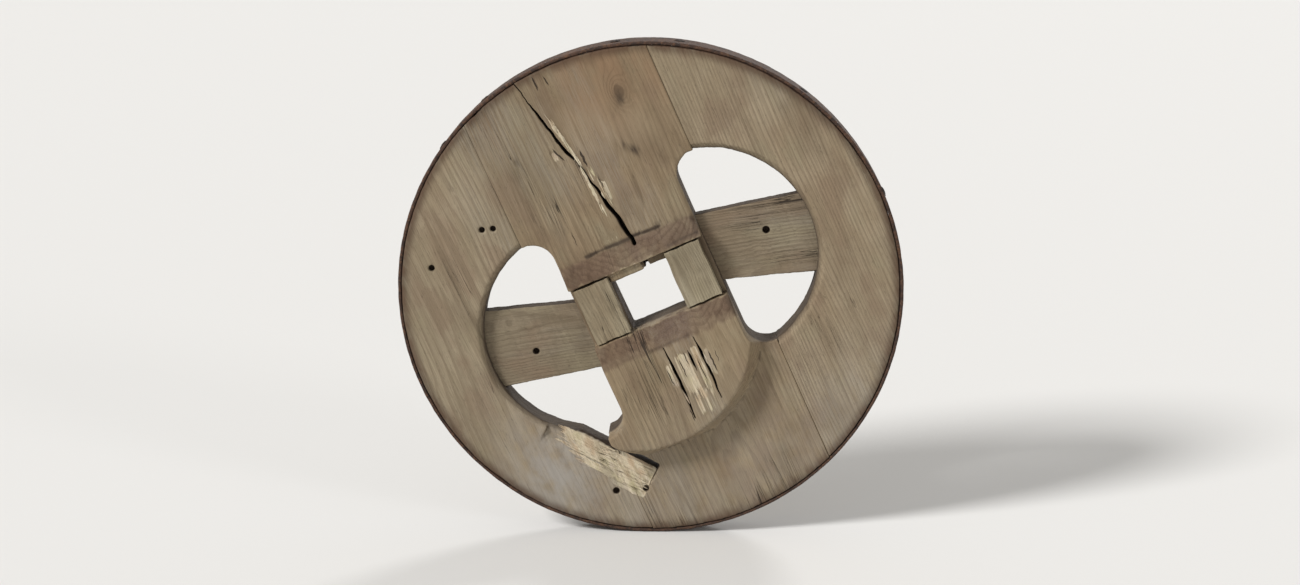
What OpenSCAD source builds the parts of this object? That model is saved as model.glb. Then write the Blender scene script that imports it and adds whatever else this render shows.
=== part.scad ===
// Solid plank wheel with an iron tyre.
// A wide centre plank carries the raised hub and the axle hole, a felloe closes the rim on each
// side, and a crossbar ties each felloe to the plank across the open eye.
// Outlines are drawn face on, X to the right and Y up along the plank, and grow in Z from the back
// of the wheel to its front. The last step stands the wheel up, with its front towards -Y.

/* [Wheel] */
// Diameter over the iron tyre
wheel_d = 1100; // [1040:10:1200]
// Thickness of the rim, felloes and plank alike
rim_t = 75; // [66:1:90]
// Lean of the centre plank to the left of upright, in degrees
plank_lean = 24; // [0:1:60]

/* [Iron tyre] */
// Thickness of the hoop
tyre_t = 8; // [5:0.5:12]
// Width of the hoop across the rim
tyre_w = 70; // [50:1:76]
// Air between the hoop and the worn rim, all round
tyre_fit = 0.3; // [0.2:0.05:0.6]
// Number of nails into each felloe, besides the four into the plank's ends
felloe_nails = 5; // [3:1:8]
// How far the nails beside a seam keep away from it
nail_edge = 62; // [50:1:80]
// Width of a nail's square shank
nail_shank = 8; // [5:0.5:12]
// Length of a nail under its head
nail_l = 45; // [30:1:50]
// Air between a nail's corners and its hole
nail_fit = 0.3; // [0.2:0.05:0.6]
// Diameter of a nail's domed head
nail_head_d = 24; // [16:1:30]
// Height of a nail's head above the hoop
nail_head_h = 3; // [1.5:0.5:5]

/* [Centre plank] */
// Width of the plank at the rim, seam to seam
plank_w = 426; // [380:2:450]
// Width of the plank between the two eyes
waist_w = 318; // [290:2:330]
// Radius in the corners where the plank narrows to its waist
waist_corner_r = 50; // [30:1:52]

/* [Hub] */
// Height of the hub's flat band above the face of the plank
band_rise = 25; // [15:1:35]
// Height of the hub's thick lower end above the flat band
lobe_rise = 20; // [8:1:30]
// Top of the flat band above the axle's centre
band_top = 77; // [70:1:90]
// Length of the slope from the plank up to the flat band
upper_slope = 52; // [30:1:70]
// Length of the slope from the flat band up to the thick lower end
lower_slope = 48; // [30:1:60]
// Radius of the round end of the thick part
lobe_r = 262; // [240:1:270]
// How far left of the axle the round end has its centre
lobe_left = 72; // [50:1:80]
// How far below the axle the round end has its centre
lobe_drop = 60; // [40:1:75]
// Width of the bevel round the thick part's end
lobe_bevel = 24; // [8:1:30]

/* [Axle hole] */
// Width of the square hole
axle_w = 130; // [110:1:140]
// Height of the square hole
axle_h = 115; // [100:1:125]
// Height of the broken lip left above the hole, under the band's surface
lip_drop = 9; // [4:1:16]
// How much of the lip still stands, from the hole's left side
lip_w = 80; // [40:1:100]

/* [Cheek blocks] */
// Thickness of the blocks let into the hub beside the hole
cheek_t = 32; // [24:1:40]
// How far the blocks stand above the hub's flat band
cheek_proud = 2; // [0.5:0.5:5]
// How far the blocks stop short of the hub's sides
cheek_inset = 10; // [4:1:20]
// Air above and below each block
cheek_fit = 0.4; // [0.2:0.1:0.8]

/* [Eyes] */
// Radius of the arc cut into each felloe
eye_r = 236; // [210:1:245]
// Distance of the arc's centre from the wheel's centre line
eye_side = 150; // [140:1:165]
// How far the left eye's arc sits below the axle, and the right one's above
eye_shift = 25; // [0:1:35]
// Width of the worn bevel along the arc's front edge
eye_bevel = 13; // [4:1:20]

/* [Crossbars] */
// Thickness of the bars
bar_t = 34; // [24:1:38]
// Depth of the bars' face under the felloes' face
bar_inset = 26; // [20:1:27]
// Height of a bar at the felloe
bar_h_outer = 187; // [150:1:200]
// Height of a bar at the hub
bar_h_inner = 160; // [130:1:175]
// How far a bar's centre line falls from the felloe to the hub
bar_fall = 60; // [20:1:70]
// How far a bar's centre line starts above the axle at the felloe
bar_lift = 22; // [0:1:30]
// Length of the tenon let into the felloe
bar_tenon_outer = 42; // [25:1:55]
// Length of the tenon let into the plank
bar_tenon_inner = 34; // [20:1:45]
// Diameter of the old nail hole in each bar
bar_hole_d = 13; // [8:1:18]
// Distance of that hole from the felloe
bar_hole_in = 100; // [60:1:140]

/* [Dowels] */
// Diameter of the dowels across the seams
dowel_d = 36; // [24:1:40]
// Length of each dowel
dowel_l = 200; // [140:2:210]
// Distance of each dowel from the edge of the wood
dowel_edge = 140; // [132:1:155]
// Air round a dowel and at its ends
dowel_fit = 0.3; // [0.2:0.05:0.6]

/* [Splits and damage] */
// Width of the drying split at the top of the plank
split_w = 6; // [3:0.5:10]
// Depth of the drying split
split_depth = 46; // [20:1:60]
// Width of the splits in the thick lower end
lobe_split_w = 6; // [3:0.5:9]
// Depth of the splits in the thick lower end
lobe_split_depth = 38; // [15:1:60]
// Where the open break leaves the left eye, in degrees round the eye's arc from the right
break_at = 240; // [232:1:246]
// Direction of the open break, in degrees from the right
break_turn = -51; // [-58:1:-46]
// Width of the open break
break_w = 15; // [8:1:24]
// How far above the lower dowel the open break ends
break_stop = 8; // [4:1:40]
// Width of the freshly split strip beside the break
fresh_w = 62; // [30:1:80]
// Depth of the freshly split strip at the break
fresh_depth = 20; // [8:1:30]
// Diameter of the empty nail holes
old_nail_d = 13; // [6:1:16]
// Depth of the empty nail holes
old_nail_depth = 16; // [8:1:18]

/* [Hidden] */
$fn = 96;
// The wood, the hoop and the levels of the hub's surfaces
wood_r = wheel_d / 2 - tyre_t - tyre_fit;
tyre_z = (rim_t - tyre_w) / 2;
seam_x = plank_w / 2;
waist_x = waist_w / 2;
band_z = rim_t + band_rise;
lobe_z = band_z + lobe_rise;
hole_x = axle_w / 2;
hole_y = axle_h / 2;
cheek_z = band_z + cheek_proud - cheek_t;
nail_hole_r = nail_shank / sqrt(2) + nail_fit;
// A cut reaches this far past the faces that it opens
past = 5;
// A nail stands on each side of every seam, and the felloe's other nails share out its arc
plank_nail_turn = asin((seam_x - nail_edge) / wood_r);
felloe_nail_turn = asin((seam_x + nail_edge) / wood_r);
felloe_nail_step = (180 - 2 * felloe_nail_turn) / (felloe_nails - 1);
nail_turns = [for (end = [90, 270]) each [
    end - plank_nail_turn, end + plank_nail_turn,
    for (i = [0:felloe_nails - 1]) end + felloe_nail_turn + i * felloe_nail_step
]];
// The eye's arc meets the seam this far above and below the arc's centre
eye_reach = sqrt(pow(eye_r, 2) - pow(seam_x - eye_side, 2));
// The crossbars run from inside the felloe to inside the plank
bar_z = rim_t - bar_inset - bar_t;
bar_outer_x = eye_side + eye_r + bar_tenon_outer;
bar_inner_x = waist_x - bar_tenon_inner;
bar_start_x = eye_side + eye_r;
dowel_y = wood_r - dowel_edge;
dowel_z = rim_t / 2;
// The open break runs from the eye's arc down to just above the dowel, is cut from inside the eye,
// and takes off the felloe's horn beside it
break_x = -eye_side + eye_r * cos(break_at);
break_y = -eye_shift + eye_r * sin(break_at);
break_l = (break_stop - dowel_y + dowel_d / 2 - break_y) / sin(break_turn);
break_start = 72;
break_horn_w = 90;
// Centre lines of the splits, from their upper end to their lower end: from the rim into the axle
// hole, and measured from the top of the thick lower end
top_split = [[-80, wood_r + past], [-37, 357], [-24, 330], [15, 132], [22, hole_y - past]];
lobe_top_y = -hole_y - lower_slope;
lobe_splits = [
    [[-16, -6], [-13, -100], [-16, -180]],
    [[29, -32], [31, -82]],
    [[54, -10], [57, -85], [55, -158]]
];
// Old nail holes in the left felloe, and on both sides of the seam beside the break
top_nail_holes = [[-seam_x - 62, 275], [-seam_x - 39, 268], [-seam_x - 199, 242]];
low_nail_holes = [[130, -85], [break_l - 2, -50]];

// Stands the face-on drawing up, front towards -Y, and leans the plank to the left
module stand_up() rotate([0, -plank_lean, 0]) rotate([90, 0, 0]) children();

// Turns a left-hand piece half round the axle into its right-hand twin
module half_turn() rotate([0, 0, 180]) children();

// A block between two corners, with its four upright edges rounded
module rounded_block(low, high, r) {
    size = high - low;
    translate(low) union() {
        translate([r, 0, 0]) cube([size.x - 2 * r, size.y, size.z]);
        translate([0, r, 0]) cube([size.x, size.y - 2 * r, size.z]);
        for (x = [r, size.x - r], y = [r, size.y - r])
            translate([x, y, 0]) cylinder(r = r, h = size.z);
    }
}

// A split in the wood along a centre line, with parallel sides
module split(line, w, depth, front_z) {
    n = len(line);
    left = [for (p = line) [p.x - w / 2, p.y]];
    right = [for (i = [n - 1:-1:0]) [line[i].x + w / 2, line[i].y]];
    translate([0, 0, front_z - depth]) linear_extrude(depth + past) polygon(concat(left, right));
}

// The room that the left eye takes out of the plank, between its seam and its waist
module plank_notch() {
    low_y = -eye_shift - eye_reach;
    high_y = -eye_shift + eye_reach;
    outer_x = -seam_x - 2 * waist_corner_r;
    rounded_block([outer_x, low_y, -past], [-waist_x, high_y, lobe_z + past], waist_corner_r);
}

// The room that the left eye takes out of the felloe, with the worn bevel at the front
module felloe_arc() {
    translate([-eye_side, -eye_shift, 0]) {
        translate([0, 0, -past]) cylinder(r = eye_r, h = rim_t + 2 * past, $fn = 180);
        translate([0, 0, rim_t - eye_bevel])
            cylinder(r1 = eye_r, r2 = eye_r + eye_bevel + past, h = eye_bevel + past, $fn = 180);
    }
}

// The left crossbar's outline from tenon to tenon, and a little longer where it is a mortise
module bar_outline(extra) {
    run = bar_start_x - waist_x;
    half_outer = bar_h_outer / 2;
    half_inner = bar_h_inner / 2;
    top_slope = (half_outer - half_inner + bar_fall) / run;
    low_slope = (half_inner - half_outer + bar_fall) / run;
    x0 = -bar_outer_x - extra;
    x1 = -bar_inner_x + extra;
    top_y = bar_lift + half_outer;
    low_y = bar_lift - half_outer;
    polygon([
        [x0, top_y - top_slope * (x0 + bar_start_x)],
        [x1, top_y - top_slope * (x1 + bar_start_x)],
        [x1, low_y - low_slope * (x1 + bar_start_x)],
        [x0, low_y - low_slope * (x0 + bar_start_x)]
    ]);
}

module bar_mortise() translate([0, 0, bar_z]) linear_extrude(bar_t) bar_outline(dowel_fit);

// Blind bores for the two dowels of one side
module dowel_bores() {
    for (y = [-dowel_y, dowel_y])
        translate([-seam_x - dowel_l / 2 - dowel_fit, y, dowel_z]) rotate([0, 90, 0])
            cylinder(d = dowel_d + 2 * dowel_fit, h = dowel_l + 2 * dowel_fit);
}

// Places its children on the line of the open break, X along it and Y towards the hub
module on_break() translate([break_x, break_y, 0]) rotate([0, 0, break_turn]) children();

// The open break, from inside the eye to its lower end
module break_gap(w) {
    on_break() translate([-break_start, 0, -past])
        cube([break_start + break_l, w, lobe_z + 2 * past]);
}

// The strip beside the break where the face has split away, sloping down to the break
module fresh_strip() {
    top_z = lobe_z + past;
    middle = break_w / 2;
    on_break() translate([-break_start, 0, 0]) rotate([90, 0, 90])
        linear_extrude(break_start + break_l)
            polygon([[-fresh_w, rim_t], [middle, rim_t - fresh_depth], [middle, top_z], [-fresh_w, top_z]]);
}

// Holes for the nails, from outside the hoop into the wood
module nail_holes() {
    for (turn = nail_turns) rotate([0, 0, turn])
        translate([wheel_d / 2 - nail_l - nail_fit, 0, rim_t / 2]) rotate([0, 90, 0])
            cylinder(r = nail_hole_r, h = nail_l + past);
}

// Empty holes left by nails in the front face
module old_nail_holes(places) {
    for (place = places) translate([place.x, place.y, rim_t - old_nail_depth])
        cylinder(d = old_nail_d, h = old_nail_depth + past);
}

// The hub's raised surface: its side view along the plank, cut to the plank's waist and round end
module hub_rise() {
    side = [
        [band_top + upper_slope, rim_t], [band_top, band_z], [-hole_y, band_z],
        [-hole_y - lower_slope, lobe_z], [-lobe_drop - lobe_r, lobe_z],
        [-lobe_drop - lobe_r - lobe_bevel, rim_t / 2], [band_top + upper_slope, rim_t / 2]
    ];
    intersection() {
        translate([-seam_x, 0, 0]) rotate([90, 0, 90]) linear_extrude(plank_w) polygon(side);
        translate([-lobe_left, -lobe_drop, rim_t / 2])
            cylinder(r1 = lobe_r + lobe_bevel * (lobe_z - rim_t / 2) / (lobe_z - rim_t),
                r2 = lobe_r, h = lobe_z - rim_t / 2, $fn = 180);
    }
}

module centre_plank() {
    color("burlywood") difference() {
        union() {
            intersection() {
                cylinder(r = wood_r, h = rim_t, $fn = 180);
                translate([-seam_x, -wood_r, 0]) cube([plank_w, 2 * wood_r, rim_t]);
            }
            hub_rise();
        }
        plank_notch();
        half_turn() plank_notch();
        translate([-hole_x, -hole_y, -past]) cube([axle_w, axle_h, lobe_z + 2 * past]);
        for (x = [-waist_x - past, hole_x])
            translate([x, -hole_y, cheek_z])
                cube([waist_x + past - hole_x, hole_y + band_top, cheek_t + past]);
        translate([-hole_x, hole_y, band_z - lip_drop]) cube([axle_w, band_top - hole_y, lip_drop + past]);
        translate([-hole_x + lip_w, hole_y, cheek_z])
            cube([axle_w - lip_w, band_top - hole_y, cheek_t + past]);
        bar_mortise();
        half_turn() bar_mortise();
        dowel_bores();
        half_turn() dowel_bores();
        split(top_split, split_w, split_depth, rim_t);
        translate([0, lobe_top_y, 0])
            for (line = lobe_splits) split(line, lobe_split_w, lobe_split_depth, lobe_z);
        nail_holes();
        break_gap(break_w);
        fresh_strip();
        on_break() old_nail_holes(low_nail_holes);
    }
}

// One felloe: the part of the disc beyond the seam, less the eye and the joints
module plain_felloe() {
    difference() {
        intersection() {
            cylinder(r = wood_r, h = rim_t, $fn = 180);
            translate([-wood_r, -wood_r, 0]) cube([wood_r - seam_x, 2 * wood_r, rim_t]);
        }
        felloe_arc();
        bar_mortise();
        dowel_bores();
        nail_holes();
    }
}

module left_felloe() {
    color("tan") difference() {
        plain_felloe();
        break_gap(break_horn_w);
        fresh_strip();
        old_nail_holes(top_nail_holes);
        on_break() old_nail_holes(low_nail_holes);
    }
}

module right_felloe() color("tan") half_turn() plain_felloe();

module crossbar() {
    difference() {
        translate([0, 0, bar_z]) linear_extrude(bar_t) bar_outline(0);
        translate([-bar_start_x + bar_hole_in, -eye_shift, bar_z + bar_t / 2])
            cylinder(d = bar_hole_d, h = bar_t);
    }
}

module left_crossbar() color("darkkhaki") crossbar();

module right_crossbar() color("darkkhaki") half_turn() crossbar();

module cheek(x) {
    translate([x, -hole_y + cheek_fit, cheek_z])
        cube([waist_x - cheek_inset - hole_x, hole_y + band_top - 2 * cheek_fit, cheek_t]);
}

module left_cheek() color("beige") cheek(-waist_x + cheek_inset);

module right_cheek() color("beige") cheek(hole_x);

module dowel(side, height) {
    translate([side * seam_x - dowel_l / 2, height * dowel_y, dowel_z]) rotate([0, 90, 0])
        cylinder(d = dowel_d, h = dowel_l);
}

module iron_tyre() {
    color("saddlebrown") translate([0, 0, tyre_z]) difference() {
        cylinder(d = wheel_d, h = tyre_w, $fn = 180);
        translate([0, 0, -past]) cylinder(r = wood_r + tyre_fit, h = tyre_w + 2 * past, $fn = 180);
        translate([0, 0, -tyre_z]) nail_holes();
    }
}

module tyre_nails() {
    head_r = (pow(nail_head_d / 2, 2) + pow(nail_head_h, 2)) / (2 * nail_head_h);
    color("sienna") for (turn = nail_turns) rotate([0, 0, turn])
        translate([wheel_d / 2, 0, rim_t / 2]) rotate([0, 90, 0]) union() {
            intersection() {
                translate([0, 0, nail_head_h - head_r]) sphere(r = head_r);
                cylinder(d = nail_head_d, h = nail_head_h);
            }
            translate([-nail_shank / 2, -nail_shank / 2, -nail_l])
                cube([nail_shank, nail_shank, nail_l + nail_head_h / 2]);
        }
}

stand_up() centre_plank();
stand_up() left_felloe();
stand_up() right_felloe();
stand_up() left_crossbar();
stand_up() right_crossbar();
stand_up() left_cheek();
stand_up() right_cheek();
stand_up() color("peru") dowel(-1, 1);  // upper_left_dowel
stand_up() color("peru") dowel(-1, -1);  // lower_left_dowel
stand_up() color("peru") dowel(1, 1);  // upper_right_dowel
stand_up() color("peru") dowel(1, -1);  // lower_right_dowel
stand_up() iron_tyre();
stand_up() tyre_nails();
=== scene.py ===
"""The looks of a solid plank wheel: three thick planks worn round by use, split and broken by age,
cheek blocks beside a square axle hole, crossbars over the eyes and a rusty hoop with its nails."""

import math

import bmesh
import bpy
import numpy as np
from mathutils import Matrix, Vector, noise


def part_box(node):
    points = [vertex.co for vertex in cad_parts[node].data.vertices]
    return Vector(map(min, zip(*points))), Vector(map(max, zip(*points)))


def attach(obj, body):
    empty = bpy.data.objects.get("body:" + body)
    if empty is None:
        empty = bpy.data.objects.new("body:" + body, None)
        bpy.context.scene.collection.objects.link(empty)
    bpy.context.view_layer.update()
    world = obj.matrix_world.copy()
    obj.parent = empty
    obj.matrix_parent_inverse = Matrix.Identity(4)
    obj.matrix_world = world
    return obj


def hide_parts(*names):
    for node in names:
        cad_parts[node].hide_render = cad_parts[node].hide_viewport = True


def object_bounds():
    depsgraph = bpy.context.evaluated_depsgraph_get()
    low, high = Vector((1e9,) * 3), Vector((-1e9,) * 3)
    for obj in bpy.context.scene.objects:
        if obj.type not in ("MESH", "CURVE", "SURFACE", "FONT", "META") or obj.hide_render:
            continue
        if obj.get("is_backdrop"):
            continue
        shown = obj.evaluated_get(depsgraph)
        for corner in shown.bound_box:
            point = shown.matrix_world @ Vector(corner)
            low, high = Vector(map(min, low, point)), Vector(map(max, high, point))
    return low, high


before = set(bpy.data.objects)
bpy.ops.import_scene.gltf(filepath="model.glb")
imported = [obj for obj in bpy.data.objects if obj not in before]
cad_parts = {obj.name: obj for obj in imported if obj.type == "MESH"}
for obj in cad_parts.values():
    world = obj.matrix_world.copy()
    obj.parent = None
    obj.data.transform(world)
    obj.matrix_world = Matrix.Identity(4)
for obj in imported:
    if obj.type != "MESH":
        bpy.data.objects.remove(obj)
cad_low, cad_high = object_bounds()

# The centre plank is one wide board, sawn and adzed down from a thick slab, so that its hub and
# the thick round end below the axle stand proud of the face. Years of use have rounded its edges,
# and drying has split it from the rim to the axle hole.

# Its age is worked in on the maker's view, in metres: across the plank and up it, from the middle of
# the axle hole, and out from the back. FACE and LOBE are how far out the plain face and the thick round
# end lie. The rim grips a little way into the hoop, so that no gap shows. The boards meet at a seam this
# far to each side, and the right eye is the left one turned half round.
PLANK_LEAN = math.radians(24)
FACE = round(-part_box("left_felloe")[0].y, 4)
LOBE = round(-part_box("centre_plank")[0].y, 4)
HOOP_BACK, HOOP_FRONT = (round(-corner.y, 4) for corner in reversed(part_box("iron_tyre")))
RIM_RADIUS, RIM_GRIP = round(-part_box("left_felloe")[0].x, 4), 0.0006
SEAM = 0.213
EYE_MIDDLE, EYE_RADIUS = (-0.150, -0.025), 0.236


def face_on(points):
    """Turns places of the frame to the maker's view: across the plank, up it, and out of its back."""
    x, y, z = points.T
    c, s = math.cos(PLANK_LEAN), math.sin(PLANK_LEAN)
    return np.stack([x * c + z * s, z * c - x * s, -y], 1)


def stood_up(points):
    """Turns places of the maker's view back to the frame."""
    across, up, out = points.T
    c, s = math.cos(PLANK_LEAN), math.sin(PLANK_LEAN)
    return np.stack([across * c - up * s, -out, across * s + up * c], 1)


def rise(values, low, high):
    """0 below low, 1 above high, and a soft rise between. It falls where low is above high."""
    share = np.clip((values - low) / (high - low), 0, 1)
    return share * share * (3 - 2 * share)


def ripple(points, across, along, octaves, shift):
    """Noise from about -1 to 1, with this many waves in a metre across and along the grain, which runs
    up the maker's view."""
    stretched = points * (across, along, across) + shift
    return np.array([noise.fractal(Vector(place), 1.0, 2.0, octaves) for place in stretched])


def patch(points, x, y, wide, high):
    """A soft round patch on the maker's view, 1 in its middle and 0 well outside it."""
    across, up = points[:, 0] - x, points[:, 1] - y
    return np.exp(-(across ** 2 / wide ** 2 + up ** 2 / high ** 2))


def beside(line, points):
    """How far points lie to the right of a line down the plank, and how far along it, from 0 to 1."""
    line = np.array(line)[::-1]
    middle = np.interp(points[:, 1], line[:, 1], line[:, 0])
    return points[:, 0] - middle, (line[-1, 1] - points[:, 1]) / np.ptp(line[:, 1])


def rows(items, name, width, kind=float):
    """One value of each of a mesh's items, such as the places of its points, as rows of an array."""
    values = np.zeros(len(items) * width, kind)
    items.foreach_get(name, values)
    return values.reshape(-1, width)


def evaluated(mesh, kind, inputs=None, **settings):
    """The mesh as one modifier leaves it. inputs are a node group's, by their identifiers."""
    holder = bpy.data.objects.new("bench", mesh)
    bpy.context.scene.collection.objects.link(holder)
    modifier = holder.modifiers.new(kind.title(), kind)
    for name, value in settings.items():
        setattr(modifier, name, value)
    for identifier, value in (inputs or {}).items():
        modifier[identifier] = value
    made = bpy.data.meshes.new_from_object(
        holder.evaluated_get(bpy.context.evaluated_depsgraph_get()))
    bpy.data.objects.remove(holder)
    return made


def fit(name, mesh, material, node=None):
    """Sets a finished mesh on the wheel, where it stands for a CAD node or is a piece of its own."""
    mesh.materials.clear()
    mesh.materials.append(material)
    piece = bpy.data.objects.new(name, mesh)
    bpy.context.scene.collection.objects.link(piece)
    if node:
        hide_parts(node)
    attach(piece, "root")


class Worn:
    """A piece as a fine even skin over its CAD node, seen face on while age is worked into it."""

    def __init__(self, node, grid):
        self.node = node
        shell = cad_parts[node].data.copy()
        merged = bmesh.new()
        merged.from_mesh(shell)
        bmesh.ops.remove_doubles(merged, verts=merged.verts, dist=1e-5)
        merged.to_mesh(shell)
        merged.free()
        shell.vertices.foreach_set("co", face_on(rows(shell.vertices, "co", 3)).ravel())
        self.mesh = evaluated(shell, "REMESH", mode="VOXEL", voxel_size=grid, use_smooth_shade=True)
        self.points = rows(self.mesh.vertices, "co", 3)
        self.edges = rows(self.mesh.edges, "vertices", 2, int)
        self.neighbours = np.bincount(self.edges.ravel())
        self.marks = {name: np.zeros(len(self.points)) for name in
                      ("grime_and_shade", "worn", "dust", "rust", "red", "warm", "torn")}

    def mean_beside(self, values):
        """The mean over each point's neighbours."""
        a, b = self.edges.T
        size = len(self.points)
        columns = values.reshape(size, -1).T
        total = [np.bincount(a, c[b], size) + np.bincount(b, c[a], size) for c in columns]
        return (np.array(total) / self.neighbours).T.reshape(values.shape)

    def facing(self):
        """Where each point of the surface faces."""
        self.mesh.vertices.foreach_set("co", self.points.ravel())
        self.mesh.update()
        return rows(self.mesh.vertex_normals, "vector", 3)

    def proud(self):
        """How far each point stands out from its neighbours, in metres."""
        off = ((self.points - self.mean_beside(self.points)) * self.facing()).sum(1)
        return self.mean_beside(self.mean_beside(off))

    def hollow(self, rounds):
        """How far each point lies below the softened face around it, in metres."""
        softened = self.points[:, 2]
        for _ in range(rounds):
            softened = self.mean_beside(softened)
        return softened - self.points[:, 2]

    def rub(self, rounds, share):
        """Rounds the edges. The share, from 0 to 1, says how much of it each point gets."""
        for _ in range(rounds):
            pull = self.mean_beside(self.points) - self.points
            self.points += 0.6 * pull * np.broadcast_to(share, len(self.points))[:, None]

    def sink(self, depth):
        """Moves each point into the wood by its own depth."""
        self.points -= self.facing() * depth[:, None]

    def weather(self, seed, relief, dents):
        """Uneven wear of the edges, wavy faces, ridges along the grain, and dents."""
        patches = rise(ripple(self.points, 13.0, 9.0, 2, seed), -0.05, 0.5)
        seam = rise(np.abs(np.abs(self.points[:, 0]) - SEAM), 0.012, 0.004)
        self.rub(rounds=14, share=(0.10 + 0.90 * patches) * (1 - 0.8 * seam))
        waves = rise(ripple(self.points, 8.0, 4.0, 2, seed + 3.0), -0.6, 0.8)
        ridges = ripple(self.points, 85.0, 2.6, 3, seed + 7.0)
        depth = 0.0012 * waves + relief * rise(ridges, -0.5, 0.6)
        rng = np.random.default_rng(seed)
        low, high = self.points.min(0), self.points.max(0)
        for _ in range(dents):
            place = low + rng.random(3) * (high - low)
            reach = rng.uniform(0.004, 0.016) * np.array([1.0, rng.uniform(0.8, 4.0), 1.5])
            near = np.flatnonzero((np.abs(self.points - place) < 2.5 * reach).all(1))
            off = (self.points[near] - place) / reach
            depth[near] += rng.uniform(0.0006, 0.0026) * np.exp(-(off ** 2).sum(1))
        self.sink(depth)
        self.keep_tight()

    def keep_tight(self):
        """Keeps the wood full where the hoop lies on it and where the boards are butted."""
        x, y, z = self.points.T
        radius = np.hypot(x, y)
        under = rise(radius, RIM_RADIUS - 0.004, RIM_RADIUS - 0.002)
        inside = np.minimum(z - HOOP_BACK, HOOP_FRONT - z)
        under *= rise(inside, 0.0010, 0.0065)
        self.points[:, :2] *= (1 + under * ((RIM_RADIUS + RIM_GRIP) / radius - 1))[:, None]
        butted = rise(np.abs(np.abs(x) - SEAM), 0.0050, 0.0030) * rise(z, FACE - 0.0010, FACE - 0.0040)
        butted *= rise(z, 0.0010, 0.0040) * rise(np.abs(self.facing()[:, 0]), 0.6, 0.8)
        self.points[:, 0] += butted * (np.sign(x) * SEAM - self.points[:, 0])

    def smear_and_shadow_line(self, x, y, end_x, end_y, width, strength):
        """A dark line with a ragged edge on the front, from one place to another. It draws smears and painted
        shadow along edges.
        """
        run, off = np.array([end_x - x, end_y - y]), self.points[:, :2] - (x, y)
        share = np.clip(off @ run / (run @ run), 0, 1)
        far = np.linalg.norm(off - share[:, None] * run, axis=1)
        near = np.flatnonzero((far < 2 * width) & (self.points[:, 2] > FACE - 0.003))
        far = far[near] + 0.5 * width * ripple(self.points[near], 24.0, 50.0, 4, 77.0)
        self.marks["grime_and_shade"][near] += strength * rise(far, width, 0.1 * width)

    def soil_and_shade(self):
        """The marks of dirt, rust, dust and wear by form and place, and painted shade in creases, hollows and
        on the walls below the face. Returns how flat to the front or back it is.
        """
        x, y, z = self.points.T
        flat = rise(np.abs(self.facing()[:, 2]), 0.45, 0.85)
        radius = np.hypot(x, y)
        eye = np.minimum(*[np.hypot(x - side * EYE_MIDDLE[0], y - side * EYE_MIDDLE[1]) for side in (1, -1)])
        wall = np.maximum(1 - flat, 0.7 * rise(eye, EYE_RADIUS + 0.016, EYE_RADIUS + 0.002))
        proud = self.proud()
        self.marks["worn"] += rise(proud, 0.00003, 0.0003)
        # Creases get dirt and painted shade.
        self.marks["grime_and_shade"] += 0.9 * rise(-proud, 0.00003, 0.0003)
        self.marks["grime_and_shade"] += 0.55 * rise(radius, RIM_RADIUS - 0.030, RIM_RADIUS)
        # The hollows at the foot of each step get dirt and painted shade.
        self.marks["grime_and_shade"] += 0.75 * rise(self.hollow(rounds=30), 0.0004, 0.0040) * flat
        # Painted shade on the walls below the face, and on the face just round the eyes.
        self.marks["grime_and_shade"] += 0.80 * wall * rise(z, FACE + 0.006, FACE - 0.014) * (z > 0.002)
        self.marks["rust"] += 0.7 * rise(radius, RIM_RADIUS - 0.022, RIM_RADIUS - 0.002)
        self.marks["dust"] += 0.25 * flat * rise(y, -0.15, -0.5)
        seam = rise(np.abs(np.abs(x) - SEAM), 0.006, 0.003) * rise(z, FACE - 0.010, FACE - 0.005)
        self.marks["grime_and_shade"] *= 1 - 0.5 * seam
        return flat

    def finish(self, material, slot, faces):
        """Stands the piece up, thins its skin to a number of faces and puts it in its node's place."""
        for name, values in self.marks.items():
            layer = self.mesh.attributes.new(name, "FLOAT", "POINT")
            layer.data.foreach_set("value", np.clip(values, 0, 1).astype(np.float32))
        self.mesh.vertices.foreach_set("co", stood_up(self.points).ravel())
        self.mesh.update()
        ratio = min(1.0, faces / (2 * len(self.mesh.polygons)))
        fit(self.node + "_worn", evaluated(self.mesh, "DECIMATE", ratio=ratio), material, self.node)


class Value:
    """A number on its way through a node tree. Sums written with it become Math nodes."""

    def __init__(self, wiring, socket):
        self.wiring = wiring
        self.socket = socket

    def math(self, operation, *others):
        """The result of one Math node."""
        return self.wiring.node("ShaderNodeMath", {"operation": operation}, dict(enumerate((self, *others))))

    def __add__(self, other):
        return self.math("ADD", other)

    def __sub__(self, other):
        return self.math("SUBTRACT", other)

    def __rsub__(self, other):
        return self.wiring.node("ShaderNodeMath", {"operation": "SUBTRACT"}, {0: other, 1: self})

    def __mul__(self, other):
        return self.math("MULTIPLY", other)

    def __truediv__(self, other):
        return self.math("DIVIDE", other)

    __radd__ = __add__
    __rmul__ = __mul__

    def rise(self, low, high):
        """0 below low, 1 above high, and a soft rise between. It falls where low is above high."""
        if low > high:
            return 1 - self.rise(high, low)
        return self.wiring.node("ShaderNodeMapRange", {"interpolation_type": "SMOOTHSTEP"},
                                {"Value": self, "From Min": low, "From Max": high})


class Wiring:
    """A node tree that is built up node by node."""

    def __init__(self, tree):
        self.tree = tree
        self.tree.nodes.clear()

    def node(self, kind, settings=None, inputs=None, output=0):
        """Makes any node: its settings first, then the values or links of its sockets."""
        made = self.tree.nodes.new(kind)
        for name, value in (settings or {}).items():
            setattr(made, name, value)
        for name, value in (inputs or {}).items():
            if isinstance(value, Value):
                self.tree.links.new(value.socket, made.inputs[name])
            else:
                made.inputs[name].default_value = value
        return Value(self, made.outputs[output]) if made.outputs else None


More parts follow.
